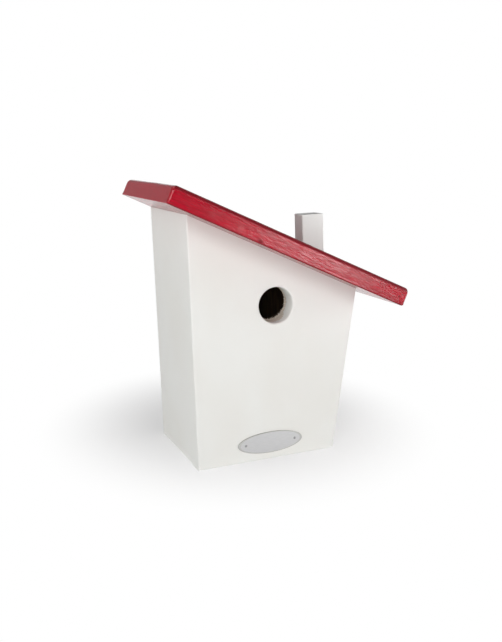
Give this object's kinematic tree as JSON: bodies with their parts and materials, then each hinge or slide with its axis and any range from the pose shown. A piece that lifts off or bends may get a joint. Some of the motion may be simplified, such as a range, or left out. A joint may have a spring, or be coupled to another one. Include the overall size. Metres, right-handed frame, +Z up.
{
  "type": "nest box",
  "caption": "Small wooden nest box with an upright and a leaning side wall, one sloping red roof board with a chimney, and a round entrance hole.",
  "frame": {"origin": "middle of the base, on the ground", "axes": "+X along the front to the leaning wall, +Y from the front to the back, +Z up"},
  "size_m": [0.2148, 0.146, 0.2475],
  "materials": {
    "white_paint": "softwood board under matt white paint",
    "bare_wood": "bare planed softwood",
    "red_paint": "softwood board under semi-gloss red paint",
    "plate_metal": "satin",
    "pin_steel": "dull",
    "zinc_steel": "zinc plated",
    "screw_steel": "stainless"
  },
  "bodies": {
    "root": {"front_panel": "white_paint", "back_panel": "white_paint", "left_wall": "white_paint", "right_wall": "white_paint", "floor_board": "bare_wood", "roof_board": "red_paint", "chimney": "white_paint", "name_plate": "plate_metal", "plate_pin_left": "pin_steel", "plate_pin_right": "pin_steel", "keyhole_hanger": "zinc_steel", "hanger_screw_top": "zinc_steel", "hanger_screw_bottom": "zinc_steel", "roof_screw_left_front": "screw_steel", "roof_screw_left_back": "screw_steel", "roof_screw_right_front": "screw_steel", "roof_screw_right_back": "screw_steel", "back_screw_left_top": "screw_steel", "back_screw_left_bottom": "screw_steel", "back_screw_right_top": "screw_steel", "back_screw_right_bottom": "screw_steel", "floor_screw_left": "screw_steel", "floor_screw_right": "screw_steel"}
  },
  "joints": []
}
